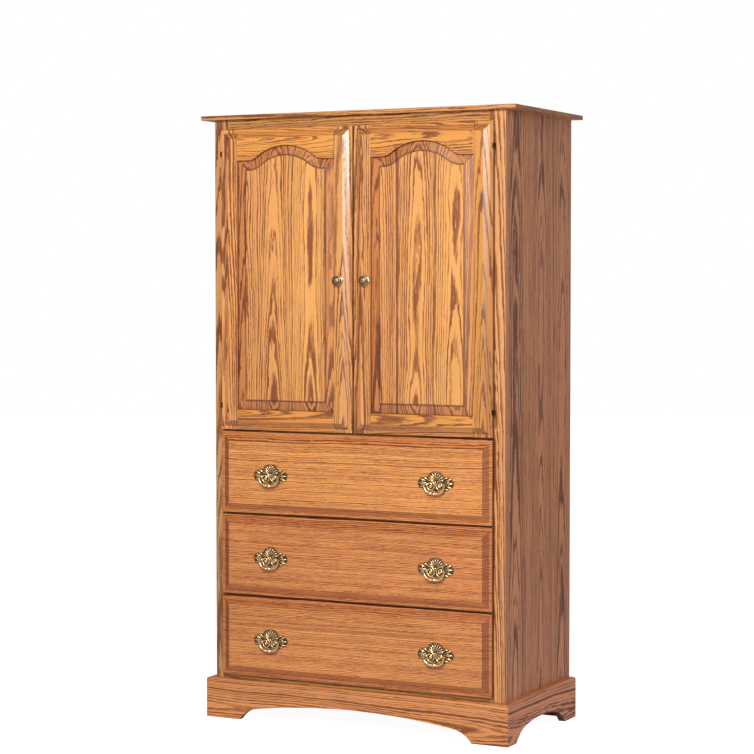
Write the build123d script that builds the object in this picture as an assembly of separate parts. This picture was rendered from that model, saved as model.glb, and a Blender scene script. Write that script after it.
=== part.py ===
from build123d import *
import math
import os
import os

# Oak armoire, in millimetres: +X right, +Y to the back, +Z up.
# The origin is on the floor, at the middle of the bounding box.

# Overall sizes
height = 1829.0
case_width = 964.0
case_depth = 488.0          # face frame front to back panel
frame_proud = 24.0          # door and drawer faces stand this far in front of the face frame
pull_reach = 19.0           # drawer pulls stand this far in front of the drawer faces

front_y = (frame_proud + pull_reach - case_depth) / 2   # front of the face frame
back_y = front_y + case_depth
case_x = case_width / 2

# Boards
board = 19.0
back_thickness = 6.0
back_rebate = 8.0
top_thickness = 13.0
top_side_overhang = 38.0
top_front_overhang = 18.0
case_top = height - top_thickness
case_bottom = 75.0
edge_round = 2.0

# Face frame
stile_width = 50.0
rail_top_height = 66.0
rail_middle = (860.0, 899.0)
rail_drawer_upper = (609.0, 647.0)
rail_drawer_lower = (361.5, 399.5)
rail_bottom = (case_bottom, 153.0)

# Base with arched feet
base_height = 122.0
base_side_thickness = 21.0
base_front_thickness = 22.0
base_round = 7.0
front_foot_inner = 388.0
front_haunch = (330.0, 37.0)
front_arch_height = 61.5
side_arch_centre = front_y + 221.0
side_foot_inner = 184.0
side_haunch = (110.0, 42.0)
side_arch_height = 52.0

# Doors and drawer fronts
front_gap = 1.8             # hinge leaf gap behind the doors and drawer fronts
slab = frame_proud - front_gap
lip = 10.0
bevel_width = 18.0
bevel_depth = 8.5
slab_edge_round = 1.2
front_half = 449.5
door_gap = 4.0
door_bottom = 882.0
door_top = 1785.0
door_frame_width = 60.0
door_bottom_rail = 62.0
shoulder_drop = 95.0
arch_rise = 43.0
arch_shoulder = 37.75
reverse_radius = 45.0
panel_bevel = 30.0
panel_face_drop = 2.5
panel_tongue = 6.0
panel_tongue_drop = 9.5     # from the frame's face down to the tongue's face
groove_depth = 7.5
sticking = 5.5               # rounding of the frame's inner edge
sticking_width = 7.5         # shallow step beside that rounding
sticking_step = 1.0
panel_step = 1.6             # small shoulder where the bevel meets the field

drawer_fronts = [(631.0, 876.0), (383.0, 625.0), (135.5, 377.0)]
drawer_boxes = [(655.0, 845.0), (407.0, 597.0), (161.0, 351.0)]
drawer_side = 13.0
drawer_half = 428.0
drawer_depth = 440.0
drawer_bottom_thickness = 6.0
drawer_bottom_rise = 12.0
bottom_groove = 6.0
runner_height = 12.0
runner_rise = 95.0
runner_groove = 6.5
clearance = 0.5

# Drawer pulls
pull_x = 275.0
pull_drop = 10.0            # pivots sit this far below the middle of the drawer front
post_spacing = 48.0
post_radius = 5.0
plate_thickness = 3.0
pivot_reach = 13.5
bail_radius = 3.2
bail_drop = 26.0
bail_bulge = 5.2
pin_radius = 1.6
pin_play = 0.1

# Knobs, hinges and catches
knob_x = 44.0
knob_z = 1331.0
knob_radius = 15.5
knob_length = pull_reach
hinge_heights = (954.5, 1713.5)
hinge_length = 15.0
barrel_radius = 3.5
hinge_pin_radius = 1.5
hinge_x = front_half + 1.5
hinge_y = front_y - 13.5
leaf = 1.2

shelf_heights = (1165.0, 1450.0)
shelf_pin_radius = 2.5

door_face_y = front_y - frame_proud
slab_back_y = front_y - front_gap


def block(x0, x1, y0, y1, z0, z1):
    """A box between six planes."""
    centre = Pos((x0 + x1) / 2, (y0 + y1) / 2, (z0 + z1) / 2)
    return centre * Box(abs(x1 - x0), abs(y1 - y0), abs(z1 - z0))


def rod(radius, start, length, direction):
    """A round bar that runs from start along direction."""
    plane = Plane(origin=start, z_dir=direction)
    return plane * Cylinder(radius, length, align=(Align.CENTER, Align.CENTER, Align.MIN))


def soften(part, amount):
    """Round every edge of a plain board a little."""
    return fillet(part.edges(), amount)


def save(name, *solids):
    """Write one node as its own STEP file."""
    shape = solids[0] if len(solids) == 1 else Compound(children=list(solids))
    shape.label = name
    export_step(shape, os.path.join("parts", name + ".step"))


def front_sketch(outline, y):
    """Put an outline drawn in X and Z on a plane that faces the front."""
    plane = Plane(origin=(0, y, 0), x_dir=(1, 0, 0), z_dir=(0, -1, 0))
    return plane * make_face(outline)


# ---------------------------------------------------------------- case

def side_panel(sign):
    """Side panel behind the face frame, rebated for the back."""
    inner = case_x - board
    panel = block(sign * inner, sign * case_x, front_y + board, back_y, case_bottom, case_top)
    rebate = block(
        sign * inner, sign * (inner + back_rebate),
        back_y - back_thickness, back_y, case_bottom, case_top,
    )
    panel -= rebate
    for z in shelf_heights:
        for y in shelf_pin_places():
            panel -= rod(shelf_pin_radius, (sign * inner, y, z - shelf_pin_radius), 9, (sign, 0, 0))
    return panel


def shelf_pin_places():
    """How far back the front and rear shelf pins are."""
    return (front_y + 70.0, back_y - 60.0)


def shelf_pins():
    """Eight pins, each half in the side panel and half under a shelf."""
    pins = []
    for sign in (-1, 1):
        for z in shelf_heights:
            for y in shelf_pin_places():
                start = (sign * (case_x - board + 9.0), y, z - shelf_pin_radius)
                pins.append(rod(shelf_pin_radius, start, 18.0, (-sign, 0, 0)))
    return pins


def top_board():
    """Top, overhanging at the front and sides and flush at the back."""
    x = case_x + top_side_overhang
    part = block(-x, x, front_y - top_front_overhang, back_y, case_top, height)
    return soften(part, edge_round)


def face_stile(sign):
    """Upright of the face frame, its outer edge rounded."""
    part = block(
        sign * (case_x - stile_width), sign * case_x,
        front_y, front_y + board, case_bottom, case_top,
    )
    corner = part.edges().filter_by(Axis.Z).sort_by(
        lambda e: -sign * e.center().X + 10 * e.center().Y
    )[0]
    return fillet(corner, 3.0)


def face_rail(low, high):
    """Cross rail of the face frame."""
    x = case_x - stile_width
    return block(-x, x, front_y, front_y + board, low, high)


def cross_board(z, thickness):
    """Full-width board between the side panels, behind the face frame."""
    x = case_x - board
    return block(-x, x, front_y + board, back_y - back_thickness, z - thickness, z)


def top_cleats():
    """Two strips screwed inside the side panels that hold the top down."""
    return [
        block(
            sign * (case_x - board - 20.0), sign * (case_x - board),
            front_y + board + 20.0, back_y - back_thickness - 20.0, case_top - 20.0, case_top)
        for sign in (-1, 1)
    ]


def shelves():
    """Two loose shelves that rest on their pins."""
    x = case_x - board - 1.5
    return [
        soften(block(-x, x, front_y + 25, back_y - back_thickness - 4, z, z + board), 1.0)
        for z in shelf_heights
    ]


def drawer_runners():
    """Six hardwood strips, spaced off the side panels to clear the face frame."""
    strips = []
    for low, _ in drawer_boxes:
        z = low + runner_rise
        for sign in (-1, 1):
            tip = drawer_half - runner_groove + clearance
            strips.append(block(
                sign * tip, sign * (case_x - board),
                front_y + board, back_y - back_thickness, z, z + runner_height,
            ))
    return strips


# ---------------------------------------------------------------- base

def arch_outline(foot, haunch, crown):
    """Low arch: a tight haunch at each foot and one long flat curve between."""
    hx, hz = haunch
    rise = crown - hz
    flat = ThreePointArc((-hx, hz), (0, crown), (hx, hz))
    flat_radius = (hx ** 2 + rise ** 2) / (2 * rise)
    slope = math.asin(hx / flat_radius)
    right = TangentArc((hx, hz), (foot, 0), tangent=(math.cos(slope), -math.sin(slope)))
    left = TangentArc((-hx, hz), (-foot, 0), tangent=(-math.cos(slope), -math.sin(slope)))
    drop = 5.0
    legs = Polyline((foot, 0), (foot, -drop), (-foot, -drop), (-foot, 0))
    return Wire([*left.edges(), *flat.edges(), *right.edges(), *legs.edges()])


def base_top_edge(part, axis, pick):
    """Round the outer top edge of a base board."""
    edges = part.edges().filter_by(axis).filter_by_position(Axis.Z, base_height - 1, base_height + 1)
    return fillet(pick(edges), base_round)


def base_front():
    """Front board, mitred to the sides, with the long arch cut out."""
    x_in = case_x
    x_out = case_x + base_side_thickness
    y_out = front_y - base_front_thickness
    plan = make_face(Polyline(
        (-x_out, y_out), (x_out, y_out), (x_in, front_y), (-x_in, front_y), close=True,
    ))
    part = extrude(plan, base_height)
    arch = front_sketch(arch_outline(front_foot_inner, front_haunch, front_arch_height), front_y + 5)
    part -= extrude(arch, base_front_thickness + 10)
    return base_top_edge(part, Axis.X, lambda edges: edges.sort_by(Axis.Y)[0])


def base_side(sign):
    """Side board, mitred at the front, with its own shorter arch."""
    x_in = sign * case_x
    x_out = sign * (case_x + base_side_thickness)
    y_out = front_y - base_front_thickness
    plan = make_face(Polyline(
        (x_out, y_out), (x_out, back_y), (x_in, back_y), (x_in, front_y), close=True,
    ))
    part = extrude(plan, base_height if plan.faces()[0].normal_at().Z > 0 else -base_height)
    outline = arch_outline(side_foot_inner, side_haunch, side_arch_height)
    plane = Plane(origin=(case_x + 30, side_arch_centre, 0), x_dir=(0, 1, 0), z_dir=(1, 0, 0))
    part -= extrude(plane * make_face(outline), -2 * (case_x + 30))
    return base_top_edge(part, Axis.Y, lambda edges: edges.sort_by(Axis.X)[-1 if sign > 0 else 0])


def base_back():
    """Rail that ties the two base sides at the back."""
    x = case_x
    return block(-x, x, back_y - board, back_y, 0, case_bottom)


def base_blocks():
    """Two glued corner blocks behind the front feet."""
    size = 45.0
    foot_gap = 5.0
    blocks = []
    for sign in (-1, 1):
        plan = make_face(Polyline(
            (sign * case_x, front_y), (sign * case_x, front_y + size),
            (sign * (case_x - size), front_y), close=True,
        ))
        height = case_bottom - foot_gap
        up = height if plan.faces()[0].normal_at().Z > 0 else -height
        blocks.append(Pos(0, 0, foot_gap) * extrude(plan, up))
    return blocks


# ---------------------------------------------------------------- doors and drawer fronts

def bevelled_slab(x0, x1, z0, z1):
    """Board with a lip and a wide bevel up to its raised face."""
    lip_y = door_face_y + bevel_depth
    back = block(x0, x1, lip_y, slab_back_y, z0, z1)
    rim = back.faces().sort_by(Axis.Y)[0].edges()
    back = fillet(rim, slab_edge_round)
    a = lip
    b = lip + bevel_width
    low = Polyline(
        (x0 + a, z0 + a), (x1 - a, z0 + a), (x1 - a, z1 - a), (x0 + a, z1 - a), close=True)
    high = Polyline(
        (x0 + b, z0 + b), (x1 - b, z0 + b), (x1 - b, z1 - b), (x0 + b, z1 - b), close=True)
    sunk = 2.0
    plinth = extrude(front_sketch(low, lip_y + sunk), sunk)
    face = loft([front_sketch(low, lip_y), front_sketch(high, door_face_y)], ruled=True)
    return back + plinth + face


def opening_outline(grow):
    """Door opening round x = 0 with its cathedral arch, made larger all round by grow."""
    half = (front_half - door_gap / 2) / 2 - door_frame_width
    shoulder = door_top - shoulder_drop
    low = door_bottom + door_bottom_rail - grow
    span = half - arch_shoulder
    turn = 2 * math.atan(arch_rise / span)
    radii = span / math.sin(turn)
    main_radius = radii - reverse_radius + grow
    small_radius = reverse_radius - grow
    crown = shoulder + arch_rise + grow
    main_centre = crown - main_radius
    meet = (main_radius * math.sin(turn), main_centre + main_radius * math.cos(turn))
    foot_z = shoulder + grow
    mid_turn = turn / 2
    reverse_centre = (span, foot_z + small_radius)
    bend = (
        reverse_centre[0] - small_radius * math.sin(mid_turn),
        reverse_centre[1] - small_radius * math.cos(mid_turn),
    )
    side = half + grow
    return Wire([
        Line((-side, low), (side, low)).edge(),
        Line((side, low), (side, foot_z)).edge(),
        Line((side, foot_z), (span, foot_z)).edge(),
        ThreePointArc((span, foot_z), bend, meet).edge(),
        ThreePointArc(meet, (0, crown), (-meet[0], meet[1])).edge(),
        ThreePointArc((-meet[0], meet[1]), (-bend[0], bend[1]), (-span, foot_z)).edge(),
        Line((-span, foot_z), (-side, foot_z)).edge(),
        Line((-side, foot_z), (-side, low)).edge(),
    ])


def door_pieces(sign):
    """Both stiles, both rails and the raised panel of one door."""
    inner = sign * door_gap / 2
    outer = sign * front_half
    centre = (inner + outer) / 2
    shift = Pos(centre, 0, 0)
    x0 = min(inner, outer)
    x1 = max(inner, outer)
    frame = bevelled_slab(x0, x1, door_bottom, door_top)
    hole = extrude(shift * front_sketch(opening_outline(0), slab_back_y + 1), slab + 5)
    frame -= hole
    half = (x1 - x0) / 2 - door_frame_width
    inside = [
        e for e in frame.faces().sort_by(Axis.Y)[0].edges()
        if abs(e.center().X - centre) < half + 0.1
        and door_bottom + door_bottom_rail - 0.1 < e.center().Z < door_top - 40
    ]
    frame = fillet(inside, sticking)
    frame -= extrude(
        shift * front_sketch(opening_outline(sticking_width), door_face_y + sticking_step),
        sticking_step + 1)
    tongue_y = door_face_y + panel_tongue_drop
    groove = extrude(
        shift * front_sketch(opening_outline(groove_depth), tongue_y + panel_tongue), panel_tongue)
    frame -= groove
    for z in hinge_heights:
        notch = hinge_length / 2 + 0.6
        frame -= block(
            sign * (hinge_x - barrel_radius - 0.6), sign * (front_half + 1),
            door_face_y, slab_back_y + 1, z - notch, z + notch)
        frame -= door_leaf_recess(sign, z)
    frame -= rod(2.5, (sign * knob_x, door_face_y - 1, knob_z), 16.0, (0, 1, 0))

    pieces = {}
    pieces["rail_top"] = frame & block(
        centre - half, centre + half, door_face_y - 1, front_y, door_top - 200, door_top + 1)
    pieces["rail_bottom"] = frame & block(
        centre - half, centre + half, door_face_y - 1, front_y, door_bottom - 1, door_bottom + 200)
    for name, side in (("stile_hinge", sign), ("stile_meeting", -sign)):
        pieces[name] = frame & block(
            centre + side * half, centre + side * (half + 100),
            door_face_y - 1, front_y, door_bottom - 1, door_top + 1)
    pieces["panel"] = shift * raised_panel(tongue_y)
    return pieces


def raised_panel(tongue_y):
    """Panel with a tongue in the frame's grooves and a bevel up to its field."""
    play = 0.5
    tongue = extrude(
        front_sketch(opening_outline(groove_depth - play), tongue_y + panel_tongue), panel_tongue)
    field_y = door_face_y + panel_face_drop
    low = front_sketch(opening_outline(0), tongue_y)
    high = front_sketch(opening_outline(-panel_bevel), field_y + panel_step)
    field = extrude(high, panel_step)
    return tongue + loft([low, high], ruled=True) + field


def door_leaf_recess(sign, z):
    """Where a hinge leaf lets into the back of the door."""
    return block(
        sign * (hinge_x - 31.0), sign * (hinge_x - 1.0),
        slab_back_y - leaf, slab_back_y + 1, z - hinge_length / 2 - 4, z + hinge_length / 2 + 4)


def knuckle(sign, low, high, bore):
    """One knuckle of a hinge barrel."""
    part = Pos(sign * hinge_x, hinge_y, low) * Cylinder(
        barrel_radius, high - low, align=(Align.CENTER, Align.CENTER, Align.MIN))
    return part - Pos(sign * hinge_x, hinge_y, low - 1) * Cylinder(
        bore, high - low + 2, align=(Align.CENTER, Align.CENTER, Align.MIN))


def hinge_link(sign, low, high, plate_y):
    """Strap that joins a knuckle to its leaf past the edge of the door."""
    x_in = sign * (hinge_x - leaf / 2)
    x_out = sign * (hinge_x + leaf / 2)
    part = block(x_in, x_out, hinge_y + barrel_radius - 0.6, plate_y, low, high)
    return part


def frame_leaf(sign, z):
    """Fixed leaf: two outer knuckles, a plate on the face frame and the pin."""
    third = hinge_length / 6
    parts = None
    for low, high in ((z - hinge_length / 2, z - third - 0.2), (z + third + 0.2, z + hinge_length / 2)):
        piece = knuckle(sign, low, high, hinge_pin_radius)
        piece += hinge_link(sign, low, high, front_y)
        parts = piece if parts is None else parts + piece
    plate = block(
        sign * (hinge_x - 28.0), sign * (hinge_x + leaf / 2),
        front_y - leaf, front_y, z - hinge_length / 2, z + hinge_length / 2)
    pin = Pos(sign * hinge_x, hinge_y, z - hinge_length / 2) * Cylinder(
        hinge_pin_radius, hinge_length, align=(Align.CENTER, Align.CENTER, Align.MIN))
    return parts + plate + pin


def door_leaf(sign, z):
    """Moving leaf: the middle knuckle and a plate let into the back of the door."""
    third = hinge_length / 6 - 0.2
    bore = hinge_pin_radius + 0.06
    part = knuckle(sign, z - third, z + third, bore)
    part += hinge_link(sign, z - third, z + third, slab_back_y)
    part += block(
        sign * (hinge_x - 30.0), sign * (hinge_x + leaf / 2),
        slab_back_y - leaf, slab_back_y, z - third, z + third)
    part -= Pos(sign * hinge_x, hinge_y, z - hinge_length) * Cylinder(
        bore, 2 * hinge_length, align=(Align.CENTER, Align.CENTER, Align.MIN))
    return part


def knob(sign):
    """Turned knob with a dished rosette and a screw shank."""
    r = knob_radius
    outline = Polyline(
        (0, 0), (r, 0), (r, 2.0), (r * 0.55, 3.5), (r * 0.36, 7.0), (r * 0.42, 10.0),
        (r * 0.86, 12.5), (r * 0.92, 15.5), (r * 0.62, knob_length - 1), (0, knob_length), close=True)
    head = revolve(make_face(outline), Axis.Y, 360)
    shank = rod(2.5, (0, 0, 0), 15.0, (0, -1, 0))
    body = Rot(0, 0, 180) * (head + shank)
    return Pos(sign * knob_x, door_face_y, knob_z) * body


# ---------------------------------------------------------------- drawers

def drawer_front(low, high):
    """Bevelled front with the holes for its pull posts."""
    part = bevelled_slab(-front_half, front_half, low, high)
    for x, z in post_places(low, high):
        part -= rod(2.0, (x, door_face_y - 1, z), slab + 2, (0, 1, 0))
    return part


def pull_height(low, high):
    """Height of the pivots of a drawer's pulls."""
    return (low + high) / 2 - pull_drop


def post_places(low, high):
    """Centres of the four posts of a drawer's two pulls."""
    z = pull_height(low, high)
    half = post_spacing / 2
    return [(s * pull_x + t * half, z) for s in (-1, 1) for t in (-1, 1)]


def drawer_sides(low, high):
    """Two sides, grooved outside for the runners and inside for the bottom."""
    sides = []
    for sign in (-1, 1):
        part = block(
            sign * (drawer_half - drawer_side), sign * drawer_half,
            slab_back_y, slab_back_y + drawer_depth, low, high)
        z = low + runner_rise
        part -= block(
            sign * (drawer_half - runner_groove), sign * (drawer_half + 1),
            front_y + board - 2, slab_back_y + drawer_depth + 1,
            z - clearance, z + runner_height + clearance)
        part -= bottom_slot(low)
        sides.append(part)
    return sides


def bottom_slot(low):
    """Space that the drawer bottom takes up in the sides and ends."""
    x = drawer_half - drawer_side + bottom_groove
    z = low + drawer_bottom_rise
    return block(
        -x, x, slab_back_y + drawer_side - bottom_groove,
        slab_back_y + drawer_depth - drawer_side + bottom_groove, z, z + drawer_bottom_thickness)


def drawer_ends(low, high):
    """Inner front and back of the drawer box, between its sides."""
    x = drawer_half - drawer_side
    near = block(-x, x, slab_back_y, slab_back_y + drawer_side, low, high)
    far_y = slab_back_y + drawer_depth
    far = block(-x, x, far_y - drawer_side, far_y, low, high)
    return [near - bottom_slot(low), far - bottom_slot(low)]


def pull_plate_outline():
    """Outline of a back plate: a fan crest, two scrolls and a leaf tip each side."""
    points = [
        (0, 38), (12, 36), (22, 29), (25, 20), (34, 22), (46, 20), (56, 10), (59, 2),
        (54, -8), (44, -12), (34, -18), (20, -22), (10, -23), (0, -22),
    ]
    mirrored = [(-x, z) for x, z in reversed(points[1:-1])]
    return Polyline(*points, *mirrored, close=True)


def pull_plate(x, z):
    """Back plate with its two drilled posts and their screw shanks."""
    plate = extrude(front_sketch(pull_plate_outline(), 0), plate_thickness)
    for side in (-1, 1):
        post_x = side * post_spacing / 2
        plate += rod(post_radius, (post_x, 0, 0), pivot_reach + post_radius - 1.5, (0, -1, 0))
        plate += rod(2.0, (post_x, -1, 0), slab + 1, (0, 1, 0))
        plate -= rod(
            pin_radius + pin_play, (post_x - side * 1.0, -pivot_reach, 0), 8, (side, 0, 0))
    return Pos(x, door_face_y, z) * plate


def bail(x, z):
    """Swinging handle: round bar in a U with a swelling at its middle."""
    reach = post_spacing / 2 + post_radius + 0.4 + bail_radius
    corner = 24.0
    path = FilletPolyline((-reach, 0), (-reach, -bail_drop), (reach, -bail_drop), (reach, 0), radius=corner)
    bent = Plane.XZ * path
    start = Plane(origin=bent @ 0, z_dir=bent % 0)
    bar = sweep(start * Circle(bail_radius), path=bent)
    bar += Pos(0, 0, -bail_drop) * Sphere(bail_bulge)
    for side in (-1, 1):
        bar += Pos(side * reach, 0, 0) * Sphere(bail_radius)
        bar += rod(pin_radius, (side * reach, 0, 0), reach - post_spacing / 2 - 0.5, (-side, 0, 0))
    return Pos(x, door_face_y - pivot_reach, z) * bar


# ---------------------------------------------------------------- catches

def catch(sign):
    """Magnetic catch under the top face rail."""
    z = case_top - rail_top_height
    return block(
        sign * 25.0, sign * 65.0, front_y + 0.2, front_y + board + 8, z - 15.0, z)


def strike(sign):
    """Steel plate on the back of a door, in front of its catch."""
    z = case_top - rail_top_height - 7.5
    return block(
        sign * 32.0, sign * 58.0, slab_back_y, slab_back_y + 1.0, z - 6.0, z + 6.0)


def main():
    os.makedirs("parts", exist_ok=True)
    sides = (("left", -1), ("right", 1))

    save("top_board", top_board())
    for name, sign in sides:
        save("side_panel_" + name, side_panel(sign))
        save("face_stile_" + name, face_stile(sign))
        save("base_side_" + name, base_side(sign))
    save("face_rail_top", face_rail(case_top - rail_top_height, case_top))
    save("face_rail_middle", face_rail(*rail_middle))
    save("face_rails_drawer", face_rail(*rail_drawer_upper), face_rail(*rail_drawer_lower))
    save("face_rail_bottom", face_rail(*rail_bottom))
    back_x = case_x - board + back_rebate
    save("back_panel", block(-back_x, back_x, back_y - back_thickness, back_y, case_bottom, case_top))
    save("divider_panel", cross_board(rail_middle[1] - 5, board))
    save("bottom_panel", cross_board(rail_bottom[1] - 15, board))
    save("top_cleats", *top_cleats())
    save("shelves", *shelves())
    save("shelf_pins", *shelf_pins())
    save("base_front", base_front())
    save("base_back", base_back())
    save("base_corner_blocks", *base_blocks())
    save("drawer_runners", *drawer_runners())
    save("hinge_frame_leaves", *[frame_leaf(s, z) for _, s in sides for z in hinge_heights])
    save("door_catches", *[catch(s) for _, s in sides])

    for name, sign in sides:
        for piece, shape in door_pieces(sign).items():
            save("door_" + name + "_" + piece, shape)
        save("door_" + name + "_knob", knob(sign))
        save("door_" + name + "_hinge_leaves", *[door_leaf(sign, z) for z in hinge_heights])
        save("door_" + name + "_strike", strike(sign))

    for number, (low, high) in enumerate(drawer_fronts, start=1):
        name = "drawer_%d_" % number
        box_low, box_high = drawer_boxes[number - 1]
        z = pull_height(low, high)
        save(name + "front", drawer_front(low, high))
        save(name + "sides", *drawer_sides(box_low, box_high))
        save(name + "ends", *drawer_ends(box_low, box_high))
        save(name + "bottom", bottom_slot(box_low))
        save(name + "pull_plates", pull_plate(-pull_x, z), pull_plate(pull_x, z))
        save(name + "bail_left", bail(-pull_x, z))
        save(name + "bail_right", bail(pull_x, z))


main()
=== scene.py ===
import math

import bpy
from bpy.props import FloatProperty, FloatVectorProperty, PointerProperty
from mathutils import Matrix, Vector


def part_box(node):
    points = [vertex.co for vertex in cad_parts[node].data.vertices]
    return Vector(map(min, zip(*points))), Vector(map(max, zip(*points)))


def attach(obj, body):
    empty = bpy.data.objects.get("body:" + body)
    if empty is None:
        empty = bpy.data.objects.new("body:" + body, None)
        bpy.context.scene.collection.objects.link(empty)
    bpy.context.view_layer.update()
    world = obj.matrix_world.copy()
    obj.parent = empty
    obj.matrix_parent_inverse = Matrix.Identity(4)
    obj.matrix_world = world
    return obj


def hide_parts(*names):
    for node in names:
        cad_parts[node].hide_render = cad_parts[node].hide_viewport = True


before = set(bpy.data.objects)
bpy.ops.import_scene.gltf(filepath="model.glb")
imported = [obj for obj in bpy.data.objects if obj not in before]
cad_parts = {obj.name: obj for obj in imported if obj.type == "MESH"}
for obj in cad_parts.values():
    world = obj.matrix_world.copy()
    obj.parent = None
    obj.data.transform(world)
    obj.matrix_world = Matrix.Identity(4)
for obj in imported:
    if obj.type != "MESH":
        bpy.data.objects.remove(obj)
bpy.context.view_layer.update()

bl_info = {
    "name": "Oak armoire",
    "version": (1, 0, 0),
    "blender": (4, 5, 0),
    "location": "3D Viewport > Sidebar > Armoire",
    "description": "Finishes the oak armoire and makes its cast brass knobs and drawer pulls",
    "category": "Object",
}

MM = 0.001
X_AXIS, Y_AXIS, Z_AXIS = Vector((1, 0, 0)), Vector((0, 1, 0)), Vector((0, 0, 1))
AXES = {"x": X_AXIS, "y": Y_AXIS, "z": Z_AXIS}

SINGLE = 9.0                    # plank width of a board that isn't glued up, wider than any board

# Each row of boards is: CAD node, way the grain runs, way its face looks, finish,
# width of one glued plank, shift of the pattern across and along the board in metres,
# depth of the heart of the tree behind the face, how fast that depth changes along
# the board, how much the grain wanders, number of the log, and tone of the board.
BOARDS = [
    ("door_left_panel", "z", "y", "front", 0.098, 0.030, 0.10, 0.042, 0.020, 1.3, 11, 1.04),
    ("door_left_stile_hinge", "z", "y", "front", SINGLE, 0.020, 0.30, 0.050, 0.030, 0.8, 22, 1.20),
    ("door_left_stile_meeting", "z", "y", "front", SINGLE, 0.010, 0.20, 0.038, 0.035, 0.8, 13, 0.93),
    ("door_left_rail_top", "x", "y", "amber", SINGLE, 0.015, 0.10, 0.040, 0.045, 1.0, 14, 1.04),
    ("door_left_rail_bottom", "x", "y", "amber", SINGLE, -0.010, 0.00, 0.035, 0.050, 1.0, 35, 1.06),
    ("door_right_panel", "z", "y", "front", 0.104, 0.020, 0.45, 0.040, 0.022, 1.3, 16, 1.01),
    ("door_right_stile_hinge", "z", "y", "amber", SINGLE, -0.010, 0.10, 0.036, 0.040, 0.9, 17, 0.84),
    ("door_right_stile_meeting", "z", "y", "front", SINGLE, 0.018, 0.60, 0.040, 0.020, 0.7, 28, 1.00),
    ("door_right_rail_top", "x", "y", "amber", SINGLE, 0.000, 0.20, 0.042, 0.040, 1.0, 19, 0.98),
    ("door_right_rail_bottom", "x", "y", "amber", SINGLE, 0.012, 0.50, 0.036, 0.045, 1.0, 20, 0.96),
    ("drawer_1_front", "x", "y", "drawer", SINGLE, 0.300, 0.10, 0.120, 0.012, 0.9, 41, 1.05),
    ("drawer_2_front", "x", "y", "drawer", SINGLE, 0.280, 0.40, 0.110, 0.014, 0.9, 42, 1.10),
    ("drawer_3_front", "x", "y", "drawer", SINGLE, 0.310, 0.70, 0.115, 0.015, 0.9, 43, 1.07),
    ("face_stile_left", "z", "y", "rose", SINGLE, 0.020, 0.20, 0.045, 0.025, 0.8, 51, 0.76),
    ("face_stile_right", "z", "y", "rose", SINGLE, 0.014, 0.50, 0.042, 0.025, 0.8, 52, 1.04),
    # The face rail under the top has a low tone that is partly painted shade, for the shadow of the top's
    # overhang.
    ("face_rail_top", "x", "y", "front", SINGLE, 0.070, 0.00, 0.060, 0.012, 0.6, 53, 0.76),
    ("face_rail_middle", "x", "y", "russet", SINGLE, 0.010, 0.30, 0.050, 0.012, 0.6, 54, 0.85),
    ("face_rails_drawer", "x", "y", "russet", SINGLE, 0.010, 0.40, 0.050, 0.012, 0.6, 55, 0.85),
    ("face_rail_bottom", "x", "y", "front", SINGLE, 0.010, 0.50, 0.050, 0.012, 0.6, 56, 0.93),
    ("top_board", "x", "z", "rose", 0.135, 0.040, 0.00, 0.045, 0.016, 0.9, 57, 1.04),
    ("base_front", "x", "y", "russet", SINGLE, 0.010, 0.20, 0.042, 0.030, 0.9, 58, 0.90),
    ("side_panel_left", "z", "x", "case", 0.158, 0.010, 0.20, 0.046, 0.018, 0.9, 61, 1.00),
    ("side_panel_right", "z", "x", "case", 0.162, 0.020, 0.60, 0.046, 0.018, 0.9, 62, 1.00),
    # The base sides' high tones are painted light, for the light that the floor throws back onto them.
    ("base_side_left", "y", "x", "case", SINGLE, 0.010, 0.20, 0.050, 0.020, 0.9, 63, 1.22),
    ("base_side_right", "y", "x", "case", SINGLE, 0.015, 0.60, 0.048, 0.022, 0.9, 64, 1.26),
    ("divider_panel", "x", "z", "inside", 0.120, 0.010, 0.20, 0.046, 0.015, 0.8, 71, 0.97),
    ("bottom_panel", "x", "z", "inside", 0.120, 0.030, 0.40, 0.046, 0.015, 0.8, 72, 0.95),
    ("shelves", "x", "z", "inside", 0.110, 0.020, 0.70, 0.046, 0.015, 0.8, 73, 1.00),
    ("back_panel", "z", "y", "plywood", 0.300, 0.000, 0.00, 0.055, 0.030, 1.6, 74, 1.00),
    ("top_cleats", "x", "z", "pale", SINGLE, 0.010, 0.20, 0.050, 0.010, 0.5, 75, 0.98),
    ("drawer_runners", "y", "z", "pale", SINGLE, 0.010, 0.20, 0.050, 0.010, 0.5, 76, 0.98),
    ("base_corner_blocks", "z", "y", "pale", SINGLE, 0.010, 0.20, 0.050, 0.010, 0.5, 77, 0.96),
    ("base_back", "x", "y", "pale", SINGLE, 0.010, 0.20, 0.060, 0.010, 0.5, 78, 0.96),
    ("drawer_1_sides", "y", "x", "pale", SINGLE, 0.020, 0.10, 0.060, 0.010, 0.5, 81, 1.00),
    ("drawer_2_sides", "y", "x", "pale", SINGLE, 0.030, 0.20, 0.060, 0.010, 0.5, 82, 0.98),
    ("drawer_3_sides", "y", "x", "pale", SINGLE, 0.010, 0.30, 0.060, 0.010, 0.5, 83, 1.01),
    ("drawer_1_ends", "x", "y", "pale", SINGLE, 0.010, 0.10, 0.060, 0.010, 0.5, 84, 1.00),
    ("drawer_2_ends", "x", "y", "pale", SINGLE, 0.020, 0.20, 0.060, 0.010, 0.5, 85, 0.99),
    ("drawer_3_ends", "x", "y", "pale", SINGLE, 0.030, 0.30, 0.060, 0.010, 0.5, 86, 1.01),
    ("drawer_1_bottom", "x", "z", "plywood", 0.300, 0.000, 0.10, 0.055, 0.030, 1.6, 87, 1.00),
    ("drawer_2_bottom", "x", "z", "plywood", 0.300, 0.000, 0.20, 0.055, 0.030, 1.6, 88, 1.00),
    ("drawer_3_bottom", "x", "z", "plywood", 0.300, 0.000, 0.30, 0.055, 0.030, 1.6, 89, 1.00),
]

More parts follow.
